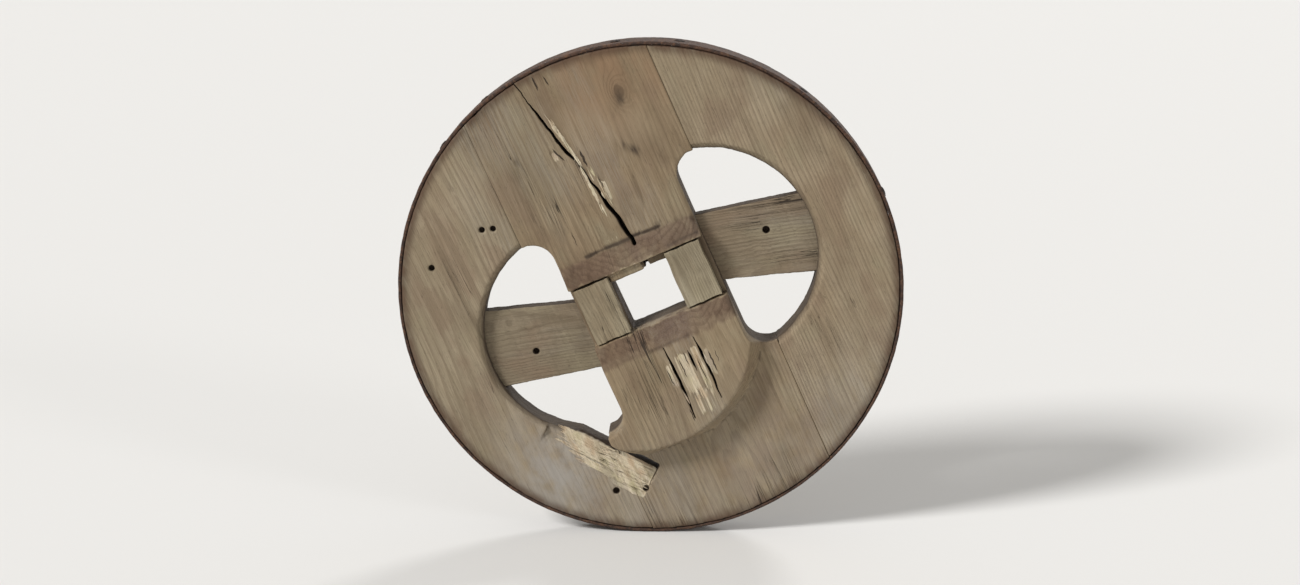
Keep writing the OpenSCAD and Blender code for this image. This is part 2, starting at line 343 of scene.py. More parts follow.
class Finish(Wiring):
    """One surface finish."""

    def __init__(self, name):
        self.material = bpy.data.materials.new(name)
        self.material.use_nodes = True
        super().__init__(self.material.node_tree)

    def grain_view(self, turn):
        """Turns places on the piece so that the grain runs along Z, and returns their three parts."""
        place = self.node("ShaderNodeTexCoord", output="Object")
        self.place = self.node("ShaderNodeMapping", None, {"Vector": place, "Rotation": (0, turn, 0)})
        parts = self.node("ShaderNodeSeparateXYZ", None, {0: self.place}).socket.node.outputs
        return [Value(self, part) for part in parts]

    def speckle(self, across, along, detail, shift, inwards=1.0):
        """Noise from 0 to 1, with this many waves in a metre across and along the grain, and with fewer
        through the board where inwards is small. Each noise has its own shift."""
        stretched = self.node("ShaderNodeMapping", None,
                              {"Vector": self.place, "Location": (shift, shift, shift),
                               "Scale": (across, across * inwards, along)})
        return self.node("ShaderNodeTexNoise", None,
                         {"Vector": stretched, "Scale": 1.0, "Detail": detail, "Roughness": 0.55})

    def mark(self, name):
        """How strong a mark of age is at each place."""
        return self.node("ShaderNodeAttribute", {"attribute_name": name}, output="Fac")

    def stain(self, share, under, over, blend="MIX"):
        """Lays one colour over another by a share."""
        return self.node("ShaderNodeMix", {"data_type": "RGBA", "blend_type": blend},
                         {0: share, 6: under, 7: over}, output=2)

    def layered(self, colour, *layers):
        """Lays one colour after another over the first, each by its share."""
        for share, over in layers:
            colour = self.stain(share, colour, over)
        return colour

    def close(self, colour, roughness, height, depth, shine=0.5):
        """Ends the finish with its colour, gloss and relief."""
        relief = self.node("ShaderNodeBump", None,
                           {"Strength": 1.0, "Distance": depth, "Height": height})
        surface = self.node("ShaderNodeBsdfPrincipled", None,
                            {"Base Color": colour, "Roughness": roughness, "Normal": relief,
                             "Specular IOR Level": shine})
        self.node("ShaderNodeOutputMaterial", None, {"Surface": surface})
        return self.material


# The colours that age, dirt and a fresh tear give to any wood, and the dark of painted shade.
KHAKI = (0.245, 0.205, 0.140, 1)
TAN = (0.262, 0.176, 0.105, 1)
RED_BROWN = (0.222, 0.155, 0.104, 1)
STRAW = (0.300, 0.258, 0.168, 1)
SILVER = (0.285, 0.262, 0.225, 1)
WARM_BROWN = (0.250, 0.158, 0.092, 1)
RED_TINT = (0.54, 0.48, 0.50, 1)
RED_STREAK = (0.085, 0.052, 0.034, 1)
PORE = (0.060, 0.044, 0.030, 1)
KNOT = (0.082, 0.050, 0.030, 1)
# The crack colour is painted shade in the cracks; the grime colour is dirt together with painted shade in
# recesses.
CRACK_SHADE = (0.030, 0.022, 0.016, 1)
DUST = (0.325, 0.300, 0.268, 1)
GRIME_AND_SHADE = (0.046, 0.032, 0.023, 1)
RUST_STAIN = (0.085, 0.042, 0.024, 1)
FRESH = (0.660, 0.570, 0.420, 1)
FRESH_STREAK = (0.440, 0.360, 0.240, 1)
FRESH_TAN = (0.480, 0.340, 0.215, 1)
FRESH_YELLOW = (0.500, 0.445, 0.270, 1)
FRESH_GREY = (0.300, 0.240, 0.200, 1)
FRESH_FIBRE = (0.180, 0.135, 0.082, 1)


class OldWood(Finish):
    """Weathered wood, with the grain along the piece."""

    def __init__(self, name, turn):
        super().__init__(name)
        self.across, self.depth, self.along = self.grain_view(turn)
        self.fibre = self.speckle(640.0, 12.0, 4.0, 1.0)
        self.streak = self.speckle(120.0, 2.2, 3.0, 4.0)
        self.mottle = self.speckle(18.0, 8.0, 4.0, 2.0)

    def year_rings(self, heart, gap, knot):
        """The dark late wood of the rings round the heart, and a knot's swelling and core, if any."""
        wander = self.speckle(4.5, 1.1, 2.0, 0.0) * 0.075 + self.speckle(34.0, 3.5, 1.0, 9.0) * 0.005
        off_across, off_depth = self.across - heart[0], self.depth - heart[1]
        reach = (off_across * off_across + off_depth * off_depth).math("SQRT") + wander
        bulge = core = None
        if knot:
            across, along, size = knot
            side, far = (self.across - across) / size, (self.along - along) / (size * 1.5)
            near = (side * side + far * far).math("SQRT") + wander * 4.0 - 0.15
            bulge, core = near.rise(4.5, 0.0), near.rise(1.15, 0.75)
            reach = reach + bulge * bulge * 0.030
        ring = (reach / gap).math("FRACT")
        return ring.rise(0.35, 0.85) * ring.rise(1.0, 0.92), bulge, core

    def cracks(self, checked):
        """Drying cracks along the grain, some long and some fine, in uneven zones."""
        zones = self.speckle(9.0, 3.2, 2.0, 15.0, 0.3).rise(0.47, 0.74)
        thread = (self.speckle(48.0, 1.0, 2.0, 11.0, 0.1) - 0.5).math("ABSOLUTE")
        crazing = (self.speckle(150.0, 3.0, 2.0, 19.0, 0.1) - 0.5).math("ABSOLUTE")
        fine = (zones * self.mottle * 0.030 * checked - crazing).rise(0.0, 0.010)
        return (zones * 0.009 * checked - thread).rise(0.0, 0.005) + fine * 0.5

    def split(self, checks, splits):
        """Adds thin splits in the front to the cracks. Each has two ends, where it narrows, and a width."""
        jitter = self.speckle(20.0, 95.0, 3.0, 71.0) * 0.006 - 0.003
        front = self.depth.rise(-0.055, -0.065)
        for top_x, top_y, low_x, low_y, width in splits:
            share = (self.along - low_y) / (top_y - low_y)
            off = (self.across - low_x - share * (top_x - low_x) + jitter).math("ABSOLUTE")
            taper = share.rise(0.0, 0.35) * share.rise(1.0, 0.65) * front
            checks = checks + (taper * (width + 0.0004) - off - 0.0004).rise(0.0, 0.0008)
        return checks

    def weathered(self, pale, body, dark, late, pores):
        """The colour of old wood: warm and grey patches, dark late wood, streaks and pores."""
        blotch = self.speckle(6.0, 4.2, 3.0, 7.0)
        drift = self.speckle(3.4, 2.6, 2.0, 17.0)
        tint = self.speckle(15.0, 8.0, 3.0, 87.0)
        grey = self.speckle(7.0, 2.4, 4.0, 25.0).rise(0.52, 0.70) * self.fibre.rise(0.35, 0.6)
        return self.layered(
            body,
            (self.mottle.rise(0.36, 0.64), pale),
            (drift.rise(0.45, 0.68) * 0.55, KHAKI),
            (drift.rise(0.50, 0.30) * 0.30, TAN),
            (tint.rise(0.50, 0.66) * 0.50, RED_BROWN),
            (tint.rise(0.46, 0.32) * 0.45, STRAW),
            (blotch.rise(0.50, 0.72) * 0.45, dark),
            (late * self.mottle.rise(0.2, 0.6) * 0.36, dark),
            (self.streak.rise(0.52, 0.72) * 0.42, dark),
            (self.fibre.rise(0.60, 0.38) * 0.30, dark),
            (pores * 0.45, PORE),
            (grey * 0.35, SILVER))

    def reddened(self, colour):
        """Warmer and redder wood where the marks say."""
        warm, red = self.mark("warm"), self.mark("red")
        patchy = self.speckle(24.0, 9.0, 3.0, 31.0).rise(0.05, 0.55)
        colour = self.stain(warm * self.mottle.rise(0.2, 0.6) * 0.75, colour, WARM_BROWN)
        colour = self.stain(red * patchy, colour, RED_TINT, "MULTIPLY")
        return self.stain(red * self.streak.rise(0.45, 0.70) * 0.3, colour, RED_STREAK)

    def fresh(self):
        """The pale colours of wood that was torn open lately."""
        patchy = self.speckle(30.0, 17.0, 3.0, 83.0)
        return self.layered(
            FRESH,
            (self.streak.rise(0.40, 0.70), FRESH_STREAK),
            (patchy.rise(0.50, 0.62) * 0.6, FRESH_TAN),
            (patchy.rise(0.48, 0.36) * 0.6, FRESH_YELLOW),
            (self.mottle.rise(0.52, 0.66) * 0.5, FRESH_GREY),
            (self.fibre.rise(0.57, 0.68) * 0.5, FRESH_FIBRE))

    def dirtied_and_shaded(self, colour, dust, worn, pale):
        """Dust, worn pale edges, grime with painted shade, and rust over the wood."""
        grime_and_shade = self.mark("grime_and_shade") * (0.7 + self.mottle * 0.6)
        rust = self.mark("rust") * self.speckle(45.0, 22.0, 4.0, 61.0).rise(0.3, 0.6)
        return self.layered(colour, (dust * 0.9, DUST), (worn * 0.55, pale),
                            (grime_and_shade.rise(0.0, 1.0), GRIME_AND_SHADE), (rust * 0.8, RUST_STAIN))


def old_wood(name, turn, heart, pale, body, dark, ring_gap=0.0065, checked=1.0, knot=None, splits=()):
    """The finish of one wood. heart is where the tree's heart lay, across the piece and in its depth,
    checked is how much it has cracked, and a knot is a place across and along it, with its size."""
    wood = OldWood(name, turn)
    late, bulge, core = wood.year_rings(heart, ring_gap, knot)
    checks = wood.cracks(checked)
    if splits:
        checks = wood.split(checks, splits)
    pores = wood.speckle(900.0, 75.0, 2.0, 13.0).rise(0.63, 0.72)
    torn = (wood.mark("torn") * 1.3 + wood.speckle(200.0, 7.0, 3.0, 41.0)).rise(0.98, 1.14)
    dust = wood.mark("dust") * wood.speckle(26.0, 18.0, 5.0, 51.0).rise(0.22, 0.62)
    worn = wood.mark("worn") * wood.mottle.rise(0.25, 0.6)

    colour = wood.reddened(wood.weathered(pale, body, dark, late, pores))
    if knot:
        colour = wood.layered(colour, (bulge * 0.30, dark), (core * 0.55, KNOT))
    colour = wood.stain(torn, colour, wood.fresh())
    colour = wood.dirtied_and_shaded(colour, dust, worn, pale)
    # Painted shade in the cracks and splits.
    colour = wood.stain(checks.rise(0.0, 1.0) * 0.9, colour, CRACK_SHADE)

    gloss = 0.76 + (wood.fibre - 0.5) * 0.2 - worn * 0.16 + dust * 0.12
    height = wood.fibre * 0.42 + late * 0.30 + wood.streak * 0.40 + wood.mottle * 0.25
    height = height - checks * 1.6 - pores * 0.2 + torn * wood.fibre * 1.2
    if knot:
        height = height + core * 0.4
    return wood.close(colour, gloss, height, depth=0.0011, shine=0.18)


# Splits run through places across and up. The top one's width is a share of the sawn one, by height.
TOP_SPLIT = ((-0.080, 0.545), (-0.037, 0.357), (-0.024, 0.330), (0.015, 0.132), (0.022, 0.052))
TOP_SPLIT_WIDTH = ((0.13, 1.2), (0.20, 1.0), (0.26, 0.6), (0.29, 0.1), (0.32, 0.1), (0.35, 0.7),
                   (0.44, 0.6), (0.49, 0.15), (0.545, 0.15))
LOBE_SPLITS = (((-0.016, -0.112), (-0.013, -0.205), (-0.016, -0.285)),
               ((0.029, -0.138), (0.031, -0.187)),
               ((0.054, -0.116), (0.057, -0.190), (0.055, -0.263)))
TOP_SWERVE, LOBE_SWERVE = 0.0030, 0.0014


def open_splits(plank):
    """Lets the straight splits swerve and narrow. Returns how near each point lies to one."""
    near_split = np.zeros(len(plank.points))
    for number, line in enumerate((TOP_SPLIT, *LOBE_SPLITS)):
        off, share = beside(line, plank.points)
        near = rise(share, -0.05, 0.0) * rise(share, 1.05, 1.0) * rise(np.abs(off), 0.022, 0.004)
        here = np.flatnonzero(near)
        level = plank.points[here] * (0, 1, 0)
        swerve, spread = (ripple(level, 1.0, pace, 3, 3.0 * number) for pace in (30.0, 17.0))
        if line is TOP_SPLIT:
            height, width = np.array(TOP_SPLIT_WIDTH).T
            width = np.interp(level[:, 1], height, width)
            swerve = swerve * TOP_SWERVE
        else:
            width = 0.7 * rise(share[here], 1.0, 0.6) * rise(share[here], 0.0, 0.3)
            swerve = swerve * LOBE_SWERVE
        plank.points[here, 0] += near[here] * (swerve + off[here] * (width - 1 + 0.3 * spread * width))
        near_split = np.maximum(near_split, near * rise(np.abs(off), 0.012, 0.006))
    return near_split


# The reddish slopes above and below the axle hole, each by the heights where it starts, is full, begins
# to fade and ends. The adze left hollows of this depth in them.
SLOPES = ((0.077, 0.083, 0.126, 0.136), (-0.116, -0.104, -0.062, -0.056))
HOLLOW_DEPTH = 0.0018


def adze_slopes(plank):
    """Marks the slopes, with frayed edges, and leaves the adze's hollows in them."""
    x, y, z = plank.points.T
    near_hub = np.flatnonzero((np.abs(y) < 0.16) & (np.abs(x) < 0.18) & (z > FACE - 0.01))
    fray = np.zeros(len(x))
    fray[near_hub] = 0.007 * ripple(plank.points[near_hub], 60.0, 12.0, 3, 91.0)
    slopes = np.zeros(len(x))
    for start, full, fading, end in SLOPES:
        slopes += rise(y + fray, start, full) * rise(y + fray, end, fading)
    slopes *= rise(np.abs(x), 0.170, 0.155) * rise(z, FACE - 0.002, FACE + 0.003)
    tooled = np.flatnonzero(slopes)
    hollows = rise(ripple(plank.points[tooled], 34.0, 16.0, 2, 71.0), -0.5, 0.5)
    plank.points[tooled, 2] -= HOLLOW_DEPTH * slopes[tooled] * hollows
    plank.marks["red"] = slopes


# Torn wood: the splinter's line, then patches by their left, right, top, bottom and strength.
SPLINTER = ((-0.040, 0.432), (-0.021, 0.330), (-0.017, 0.212))
TORN_PATCHES = ((-0.006, 0.027, -0.134, -0.244, 0.52), (0.034, 0.050, -0.130, -0.246, 0.55),
                (0.000, 0.048, -0.225, -0.296, 0.40), (0.060, 0.072, -0.142, -0.224, 0.50),
                (-0.034, -0.021, -0.146, -0.216, 0.48), (0.004, 0.014, 0.272, 0.216, 0.75),
                (-0.068, -0.056, 0.372, 0.338, 0.6), (-0.060, 0.004, 0.150, 0.136, 0.6),
                (-0.062, -0.048, 0.082, 0.064, 0.7), (-0.006, 0.008, 0.082, 0.066, 0.8),
                (-0.060, -0.026, -0.056, -0.067, 0.5), (0.008, 0.058, -0.056, -0.066, 0.6))
SPLINTER_HEIGHT, PATCH_DEPTH = 0.0016, 0.0018


def raise_splinter(plank, flat):
    """Raises the splinter beside the top split, and tears thin patches off the face."""
    off, share = beside(SPLINTER, plank.points)
    ridge = rise(np.abs(off), 0.0045, 0.0030) * rise(share, 0.0, 0.1) * rise(share, 1.0, 0.8) * flat
    plank.points[:, 2] += SPLINTER_HEIGHT * ridge
    plank.marks["torn"] = 0.9 * ridge
    x, y, _ = plank.points.T
    for left, right, top, bottom, strength in TORN_PATCHES:
        within = rise(x, left - 0.003, left + 0.003) * rise(x, right + 0.003, right - 0.003)
        within *= rise(y, top + 0.008, top - 0.012) * rise(y, bottom - 0.010, bottom + 0.020) * flat
        plank.points[:, 2] -= PATCH_DEPTH * within
        plank.marks["torn"] = np.maximum(plank.marks["torn"], strength * within)


def darken_splits(plank):
    """Paints shade into the splits, below the face that they open in."""
    z = plank.points[:, 2]
    for line, face in ((TOP_SPLIT, FACE), *[(line, LOBE) for line in LOBE_SPLITS]):
        off, share = beside(line, plank.points)
        within = rise(np.abs(off), 0.0065, 0.0040) * rise(share, -0.05, 0.0) * rise(share, 1.05, 1.0)
        # Painted shade inside the split.
        plank.marks["grime_and_shade"] += 1.2 * within * rise(z, face - 0.003, face - 0.008) * rise(z, 0.004, 0.010)


# Dark smears, and painted shadow along the edges of the hub's slopes and down its right side: from where, to
# where, how wide and how strong. The first four rows are smears.
SMEARS_AND_SHADOW_LINES = ((0.120, 0.430, 0.118, 0.424, 0.022, 0.50), (0.116, 0.416, 0.084, 0.384, 0.009, 0.32),
          (0.077, 0.324, 0.104, 0.301, 0.013, 0.85), (-0.145, 0.386, -0.142, 0.376, 0.009, 0.35),
          (-0.090, 0.131, 0.080, 0.131, 0.007, 0.65), (0.012, 0.136, 0.034, 0.133, 0.006, 0.90),
          (0.060, 0.087, 0.152, 0.089, 0.005, 0.50), (-0.045, -0.108, 0.045, -0.106, 0.007, 0.40),
          (-0.150, 0.079, -0.070, 0.080, 0.004, 0.45), (0.150, 0.120, 0.154, -0.100, 0.010, 0.45))

plank = Worn("centre_plank", grid=0.0019)
near_split = open_splits(plank)
hub = rise(plank.points[:, 2], FACE + 0.001, FACE + 0.006)
plank.rub(rounds=4, share=1 - 0.8 * near_split)
plank.rub(rounds=9, share=hub * (1 - near_split))
flat = rise(plank.facing()[:, 2], 0.6, 0.85)
adze_slopes(plank)
x, y, z = plank.points.T
plank.marks["warm"] = rise(y, 0.28, 0.48) * rise(x, -0.06, 0.06) * flat
plank.marks["worn"] = 0.8 * flat * patch(plank.points, 0.14, 0.36, wide=0.05, high=0.05)
plank.marks["worn"] += 0.35 * flat * rise(z, LOBE - 0.008, LOBE - 0.003) * rise(y, -0.28, -0.22)
raise_splinter(plank, flat)
plank.weather(seed=1, relief=0.0008, dents=110)
plank.soil_and_shade()
darken_splits(plank)
plank.marks["grime_and_shade"] += 0.22 * patch(plank.points, -0.13, 0.32, wide=0.07, high=0.12)
for smear_and_shadow_line in SMEARS_AND_SHADOW_LINES:
    plank.smear_and_shadow_line(*smear_and_shadow_line)


# The break starts at the left eye and runs down at this turn. The wood beside it split away, and left a
# pale strip that slants from the face, at its far edge, down to this depth over its width. The last two
# are how deep the strip's ridges and the broken-back edge go.
BREAK_START, BREAK_TURN = (-0.268, -0.2294), math.radians(-51)
STRIP_EDGE, STRIP_WIDTH, STRIP_DEPTH = -0.062, 0.0695, 0.020
STRIP_RIDGES, EDGE_LOSS = 0.004, 0.010


def along_break(points):
    """Places along the break, down from the eye, and across it, towards the hub."""
    x, y = points[:, 0] - BREAK_START[0], points[:, 1] - BREAK_START[1]
    c, s = math.cos(BREAK_TURN), math.sin(BREAK_TURN)
    return x * c + y * s, y * c - x * s


def torn_edge(run):
    """How far the pale strip reaches from the break. It starts narrow at the eye."""
    return -0.066 + 0.052 * rise(run, 0.035, -0.055) - 0.010 * rise(run, 0.09, 0.125)


def tear(piece):
    """Marks the face that split away beside the break, roughens it and breaks its edge back, with painted
    shade in the broken-back edge.
    """
    run, aside = along_break(piece.points)
    z, facing = piece.points[:, 2], piece.facing()[:, 2]
    here = np.flatnonzero((np.abs(run - 0.06) < 0.15) & (np.abs(aside + 0.04) < 0.06) & (z > 0.020))
    run, aside, z, facing = run[here], aside[here], z[here], facing[here]
    lines = np.stack([aside, run, 0 * run], 1)
    ragged = aside + 0.005 * ripple(lines, 30.0, 22.0, 3, 15.0)
    edge = torn_edge(run)
    strip = rise(ragged, edge - 0.002, edge + 0.008) * rise(run, 0.193, 0.188) * rise(run, -0.060, -0.040)
    lost = rise(ragged, -0.0085, -0.0045) * rise(aside, 0.010, 0.004) * rise(run, 0.130, 0.080)
    strip = strip * rise(aside, 0.002, -0.002) * rise(z, 0.045, 0.052) * rise(facing, 0.55, 0.75) * (1 - lost)
    piece.marks["torn"][here] = np.maximum(piece.marks["torn"][here], strip)
    piece.marks["grime_and_shade"][here] *= 1 - 0.8 * strip
    # Painted shade in the broken-back edge.
    piece.marks["grime_and_shade"][here] += 1.1 * lost * rise(z, 0.036, 0.044)
    piece.points[here, 2] -= STRIP_RIDGES * strip * rise(ripple(lines, 120.0, 5.0, 3, 5.0), -0.5, 0.6)
    piece.points[here, 2] -= EDGE_LOSS * lost * rise(z, 0.030, 0.055)


tear(plank)

# Thin side splits: the upper end, the lower end and the width.
SIDE_SPLITS = ((-0.064, 0.380, -0.045, 0.336, 0.0024), (-0.009, 0.356, -0.007, 0.304, 0.0026),
               (-0.037, 0.540, -0.035, 0.496, 0.0020), (-0.014, 0.530, -0.010, 0.498, 0.0016),
               (-0.052, 0.400, -0.036, 0.352, 0.0010), (0.004, 0.292, 0.006, 0.246, 0.0011),
               (0.070, -0.146, 0.071, -0.216, 0.0018), (0.004, -0.136, 0.005, -0.206, 0.0013),
               (0.019, -0.128, 0.020, -0.178, 0.0011), (-0.029, -0.150, -0.028, -0.212, 0.0013),
               (0.041, -0.150, 0.042, -0.232, 0.0012), (-0.020, -0.252, -0.019, -0.300, 0.0011),
               (0.084, -0.150, 0.083, -0.196, 0.0009), (-0.100, 0.148, -0.099, 0.206, 0.0009))
plank_wood = old_wood("plank_wood", PLANK_LEAN, heart=(0.03, 0.14), pale=(0.320, 0.250, 0.160, 1),
                      body=(0.258, 0.195, 0.121, 1), dark=(0.130, 0.090, 0.053, 1),
                      knot=(0.120, 0.432, 0.011), splits=SIDE_SPLITS)
plank.finish(plank_wood, "plank_wood", faces=190000)

# Each felloe is a D-shaped piece of the same board, butted on the centre plank and held to it by
# two hidden dowels and the crossbar. A big arc is cut out of it for the eye. The left one has lost
# the horn below its eye, and the face beside the break has split away to pale new wood.
felloe_wood = old_wood("felloe_wood", PLANK_LEAN, heart=(-0.42, 0.12), pale=(0.348, 0.284, 0.194, 1),
                       body=(0.284, 0.226, 0.148, 1), dark=(0.145, 0.105, 0.066, 1),
                       ring_gap=0.0075, checked=0.6)
for number, side in enumerate(("left", "right")):
    felloe = Worn(side + "_felloe", grid=0.0019)
    felloe.rub(rounds=4, share=1.0)
    felloe.weather(seed=2 + number, relief=0.0008, dents=90)
    flat = felloe.soil_and_shade()
    if side == "left":
        tear(felloe)
        grey = patch(felloe.points, -0.36, -0.30, wide=0.10, high=0.14)
        felloe.marks["dust"] = np.maximum(felloe.marks["dust"], grey * flat)
    felloe.finish(felloe_wood, "felloe_wood", faces=150000)

# A crossbar ties each felloe to the hub over the open eye. It is a thinner board whose ends are let
# into both, and it lies well below their faces. Each has the hole of an old nail.
BAR_TILT = math.radians(14.8)
BAR_TURN = PLANK_LEAN - math.radians(90) - BAR_TILT
bar_wood = old_wood("crossbar_wood", BAR_TURN, heart=(0.02, 0.07), pale=(0.262, 0.212, 0.146, 1),
                    body=(0.212, 0.168, 0.112, 1), dark=(0.110, 0.083, 0.054, 1), ring_gap=0.005)
for number, side in enumerate(("left", "right")):
    bar = Worn(side + "_crossbar", grid=0.0016)
    bar.rub(rounds=3, share=1.0)
    bar.weather(seed=5 + number, relief=0.0006, dents=30)
    bar.marks["grime_and_shade"] -= 0.6 * rise(bar.facing()[:, 2], 0.6, 0.9)
    bar.soil_and_shade()
    bar.finish(bar_wood, "crossbar_wood", faces=60000)

# A cheek block is let into the hub on each side of the axle hole, to take the wear of the axle. The
# blocks are paler than the plank and stand a little proud of it.
cheek_wood = old_wood("cheek_wood", PLANK_LEAN, heart=(0.0, 0.03), pale=(0.385, 0.335, 0.235, 1),
                      body=(0.310, 0.262, 0.176, 1), dark=(0.155, 0.122, 0.076, 1),
                      ring_gap=0.004, checked=1.6)
for number, side in enumerate(("left", "right")):
    cheek = Worn(side + "_cheek", grid=0.0012)
    cheek.rub(rounds=8, share=1.0)
    cheek.weather(seed=8 + number, relief=0.0011, dents=40)
    cheek.soil_and_shade()
    cheek.finish(cheek_wood, "cheek_wood", faces=34000)

# Round dowels cross the seams inside the wood. They are dry and dark, and only their finish is set
# here.
dowel_wood = old_wood("dowel_wood", PLANK_LEAN, heart=(0.0, 0.0), pale=(0.20, 0.145, 0.09, 1),
                      body=(0.16, 0.11, 0.065, 1), dark=(0.09, 0.06, 0.035, 1))
for name in ("upper_left", "lower_left", "upper_right", "lower_right"):
    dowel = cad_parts[name + "_dowel"]
    dowel.data.materials.clear()
    dowel.data.materials.append(dowel_wood)


# Torn fibres stand in the splits and lie along the break. Each is a sliver of the plank's own wood
# that is still held at its thick end.
class Steps(Wiring):
    """Geometry Nodes with named sizes. They end in Realize Instances and Set Material."""

    def __init__(self, name, *sizes):
        super().__init__(bpy.data.node_groups.new(name, "GeometryNodeTree"))
        kinds = {"Geometry": "NodeSocketGeometry", **dict.fromkeys(sizes, "NodeSocketFloat"),
                 "Material": "NodeSocketMaterial"}
        sockets = self.tree.interface
        self.inputs = {given: sockets.new_socket(given, in_out="INPUT", socket_type=kind).identifier
                       for given, kind in kinds.items()}
        sockets.new_socket("Geometry", in_out="OUTPUT", socket_type="NodeSocketGeometry")
        entry = self.tree.nodes.new("NodeGroupInput")
        self.given = {given: Value(self, entry.outputs[given]) for given in kinds}

    def joined(self, *shapes):
        """Several shapes as one."""
        join = self.node("GeometryNodeJoinGeometry")
        for shape in shapes:
            self.tree.links.new(shape.socket, join.socket.node.inputs[0])
        return join

    def placed(self, shape, **ways):
        """Sets the shape on each point, by the point's own vectors, such as Rotation="turn"."""
        vector = {"data_type": "FLOAT_VECTOR"}
        read = {way: self.node("GeometryNodeInputNamedAttribute", vector, {"Name": mark})
                for way, mark in ways.items()}
        spread = self.node("GeometryNodeInstanceOnPoints", None,
                           {"Points": self.given["Geometry"], "Instance": shape, **read})
        return self.node("GeometryNodeRealizeInstances", None, {0: spread})

    def pushed(self, shape, distance):
        """Moves the surface the way it faces, by a distance that changes over it, and smooths it."""
        push = self.node("ShaderNodeVectorMath", {"operation": "SCALE"},
                         {0: self.node("GeometryNodeInputNormal"), "Scale": distance})
        shape = self.node("GeometryNodeSetPosition", None, {"Geometry": shape, "Offset": push})
        return self.node("GeometryNodeSetShadeSmooth", None, {0: shape})

    def made(self, shape, mesh, **values):
        """The mesh that these steps make of a first one, with their sizes and material by name."""
        real = self.node("GeometryNodeRealizeInstances", None, {0: shape})
        dressed = self.node("GeometryNodeSetMaterial", None, {0: real, "Material": self.given["Material"]})
        self.node("NodeGroupOutput", None, {0: dressed})
        given = {self.inputs[name]: value for name, value in values.items()}
        return evaluated(mesh, "NODES", given, node_group=self.tree)


def marked_places(name, places, **vectors):
    """A mesh of single points, each with its own vectors."""
    points = bpy.data.meshes.new(name)
    points.from_pydata(places, [], [])
    for mark, values in vectors.items():
        layer = points.attributes.new(mark, "FLOAT_VECTOR", "POINT")
        layer.data.foreach_set("vector", np.array([tuple(value) for value in values], np.float32).ravel())
    return points


# Lines in the splits where slivers stand: the line, its level, how many and how far they spread.
SPLIT_LINES = ((SPLINTER, FACE - 0.001, 26, 0.004),
               (((-0.045, 0.440), (-0.020, 0.300)), FACE - 0.002, 12, 0.006),
               (((-0.004, 0.300), (0.001, 0.215)), FACE - 0.002, 12, 0.005),
               (((0.010, -0.140), (0.016, -0.240)), LOBE - 0.003, 22, 0.009),
               (((0.042, -0.135), (0.043, -0.236)), LOBE - 0.002, 16, 0.005),
               (((-0.018, -0.150), (-0.018, -0.260)), LOBE - 0.002, 10, 0.003),
               (((0.060, -0.160), (0.061, -0.240)), LOBE - 0.002, 8, 0.003))
# Those on the strip: how many, where they start and end along it, and how far they lie from the break.
STRIP_SLIVERS = 150
SLIVERS_TOP, SLIVERS_LOW = -0.042, 0.184
SLIVERS_ASIDE, SLIVERS_SPREAD = -0.009, 0.051
# The two ends of a sliver: how thin the tip is, how long the end is, its rings and its turn.
SLIVER_ENDS = ((0.06, 0.6, 6, 0.0), (0.35, 0.4, 3, math.pi))
SLIVER_SIDES, SLIVER_BEND = 6, 0.004
rng = np.random.default_rng(31)
places, turns, sizes = [], [], []


def sliver(place, run, length, width):
    """One torn fibre, by the place of its middle, its direction and its size."""
    places.append(place)
    turns.append(Vector(run).to_track_quat("Z", "Y").to_euler())
    sizes.append((width, width * rng.uniform(0.35, 0.7), length))


for line, level, count, spread in SPLIT_LINES:
    line = np.array(line)
    for along in rng.random(count):
        spot = along * (len(line) - 1)
        low = min(int(spot), len(line) - 2)
        start = line[low] + (spot - low) * (line[low + 1] - line[low])
        run = (line[low + 1] - line[low]) * rng.choice((-1, 1))
        run = run / np.linalg.norm(run) + rng.normal(0, 0.035, 2)
        sliver((*(start + rng.normal(0, spread / 2, 2) * (1, 0)), level + rng.uniform(-0.002, 0.0010)),
               (*run, rng.uniform(-0.03, 0.04)), rng.uniform(0.012, 0.045), rng.uniform(0.0008, 0.0022))
c, s = math.cos(BREAK_TURN), math.sin(BREAK_TURN)
for _ in range(STRIP_SLIVERS):
    run = rng.uniform(-0.050, 0.180)
    aside = SLIVERS_ASIDE - rng.random() * min(SLIVERS_ASIDE - torn_edge(run), SLIVERS_SPREAD)
    level = FACE - STRIP_DEPTH * (aside - STRIP_EDGE) / STRIP_WIDTH
    length = rng.uniform(0.02, 0.11)
    run = min(max(run, SLIVERS_TOP + length / 2), SLIVERS_LOW - length / 2)
    lean = rng.normal(0, 0.05)
    way = rng.choice((-1, 1))
    sliver((BREAK_START[0] + run * c - aside * s, BREAK_START[1] + run * s + aside * c,
            level - rng.uniform(0.0005, 0.0025)),
           (way * (c - lean * s), way * (s + lean * c), rng.uniform(-0.01, 0.03)),
           length, rng.uniform(0.0012, 0.0040))

steps = Steps("torn_fibres", "Bend")
ends = []
for tip, length, rings, turn in SLIVER_ENDS:
    end = steps.node("GeometryNodeMeshCone", None,
                     {"Vertices": SLIVER_SIDES, "Side Segments": rings, "Radius Top": tip,
                      "Radius Bottom": 1.0, "Depth": length})
    base = Value(steps, end.socket.node.outputs["Bottom"])
    end = steps.node("GeometryNodeDeleteGeometry", {"domain": "FACE"}, {"Geometry": end, "Selection": base})
    ends.append(steps.node("GeometryNodeTransform", None, {0: end, "Rotation": (turn, 0, 0)}))
fibre = steps.node("GeometryNodeMergeByDistance", None, {"Geometry": steps.joined(*ends), "Distance": 0.001})
fibre = steps.placed(fibre, Rotation="turn", Scale="size")
curl = steps.node("ShaderNodeTexNoise", None, {"Scale": 34.0, "Detail": 1.0}, output="Color")
curl = steps.node("ShaderNodeVectorMath", {"operation": "SUBTRACT"}, {0: curl, 1: (0.5, 0.5, 0.5)})
